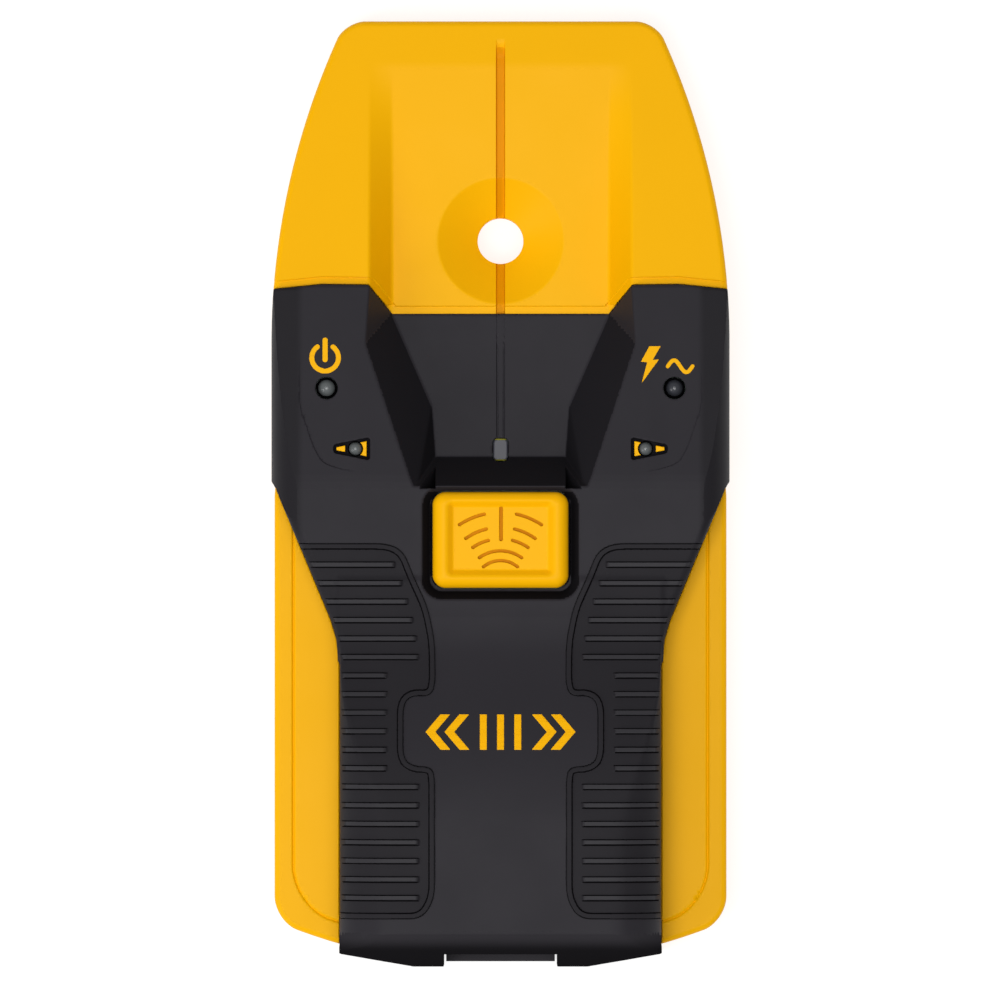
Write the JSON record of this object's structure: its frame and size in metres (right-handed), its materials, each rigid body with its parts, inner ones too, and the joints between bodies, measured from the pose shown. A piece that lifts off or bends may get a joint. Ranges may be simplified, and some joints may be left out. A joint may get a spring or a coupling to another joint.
{
  "type": "stud finder",
  "caption": "Handheld stud finder with a yellow case, black wings and ribbed handle, a marking hole in a channel, a push button and a sliding battery door.",
  "frame": {"origin": "middle of the back face, which lies on the surface", "axes": "+Z out of the front, +Y towards the head, +X to the right seen from the front"},
  "size_m": [0.08, 0.1652, 0.0353],
  "materials": {
    "yellow_plastic": "satin moulded ABS",
    "black_plastic": "fine satin texture",
    "grip_rubber": "soft matt rubber",
    "part_black": "moulded",
    "part_grey": "ceramic",
    "circuit_board": "solder mask",
    "copper": "bare copper",
    "light_lens": "smoke-grey clear resin",
    "battery_jacket": "printed metal jacket, no print",
    "steel": "zinc plated",
    "wire_red": "PVC",
    "wire_black": "PVC",
    "foam": "closed-cell foam"
  },
  "bodies": {
    "case": {"rear_cover": "yellow_plastic", "front_housing": "yellow_plastic", "grip_cover": "black_plastic", "grip_pad_left": "grip_rubber", "grip_pad_right": "grip_rubber", "switch_body": "part_black", "main_board": "circuit_board", "display_board": "circuit_board", "board_link": "part_black", "sensor_plates": "copper", "controller_chip": "part_black", "board_components": "part_grey", "buzzer": "part_black", "led_power": "light_lens", "led_ac": "light_lens", "led_left": "light_lens", "led_right": "light_lens", "led_centre": "light_lens", "centre_lens": "light_lens", "arrow_left": "yellow_plastic", "arrow_right": "yellow_plastic", "battery": "battery_jacket", "battery_terminals": "steel", "battery_snap": "part_black", "lead_red": "wire_red", "lead_black": "wire_black", "case_screws": "steel", "board_screws": "steel", "display_screws": "steel"},
    "button": {"power_button": "yellow_plastic"},
    "plunger": {"switch_plunger": "part_black"},
    "door": {"battery_door": "black_plastic", "door_pad": "foam"}
  },
  "joints": [
    {"name": "button_press", "type": "slide", "parent": "case", "child": "button", "axis": [0, 0, -1], "range_m": [0, 0.001], "stiffness_N_per_m": 600},
    {"name": "plunger_press", "type": "slide", "parent": "case", "child": "plunger", "axis": [0, 0, -1], "range_m": [0, 0.001], "stiffness_N_per_m": 100},
    {"name": "door_slide", "type": "slide", "parent": "case", "child": "door", "axis": [0, -1, 0], "range_m": [0, 0.055]}
  ],
  "couplings": [
    {"joint": "plunger_press", "follows": "button_press", "ratio": 1}
  ]
}
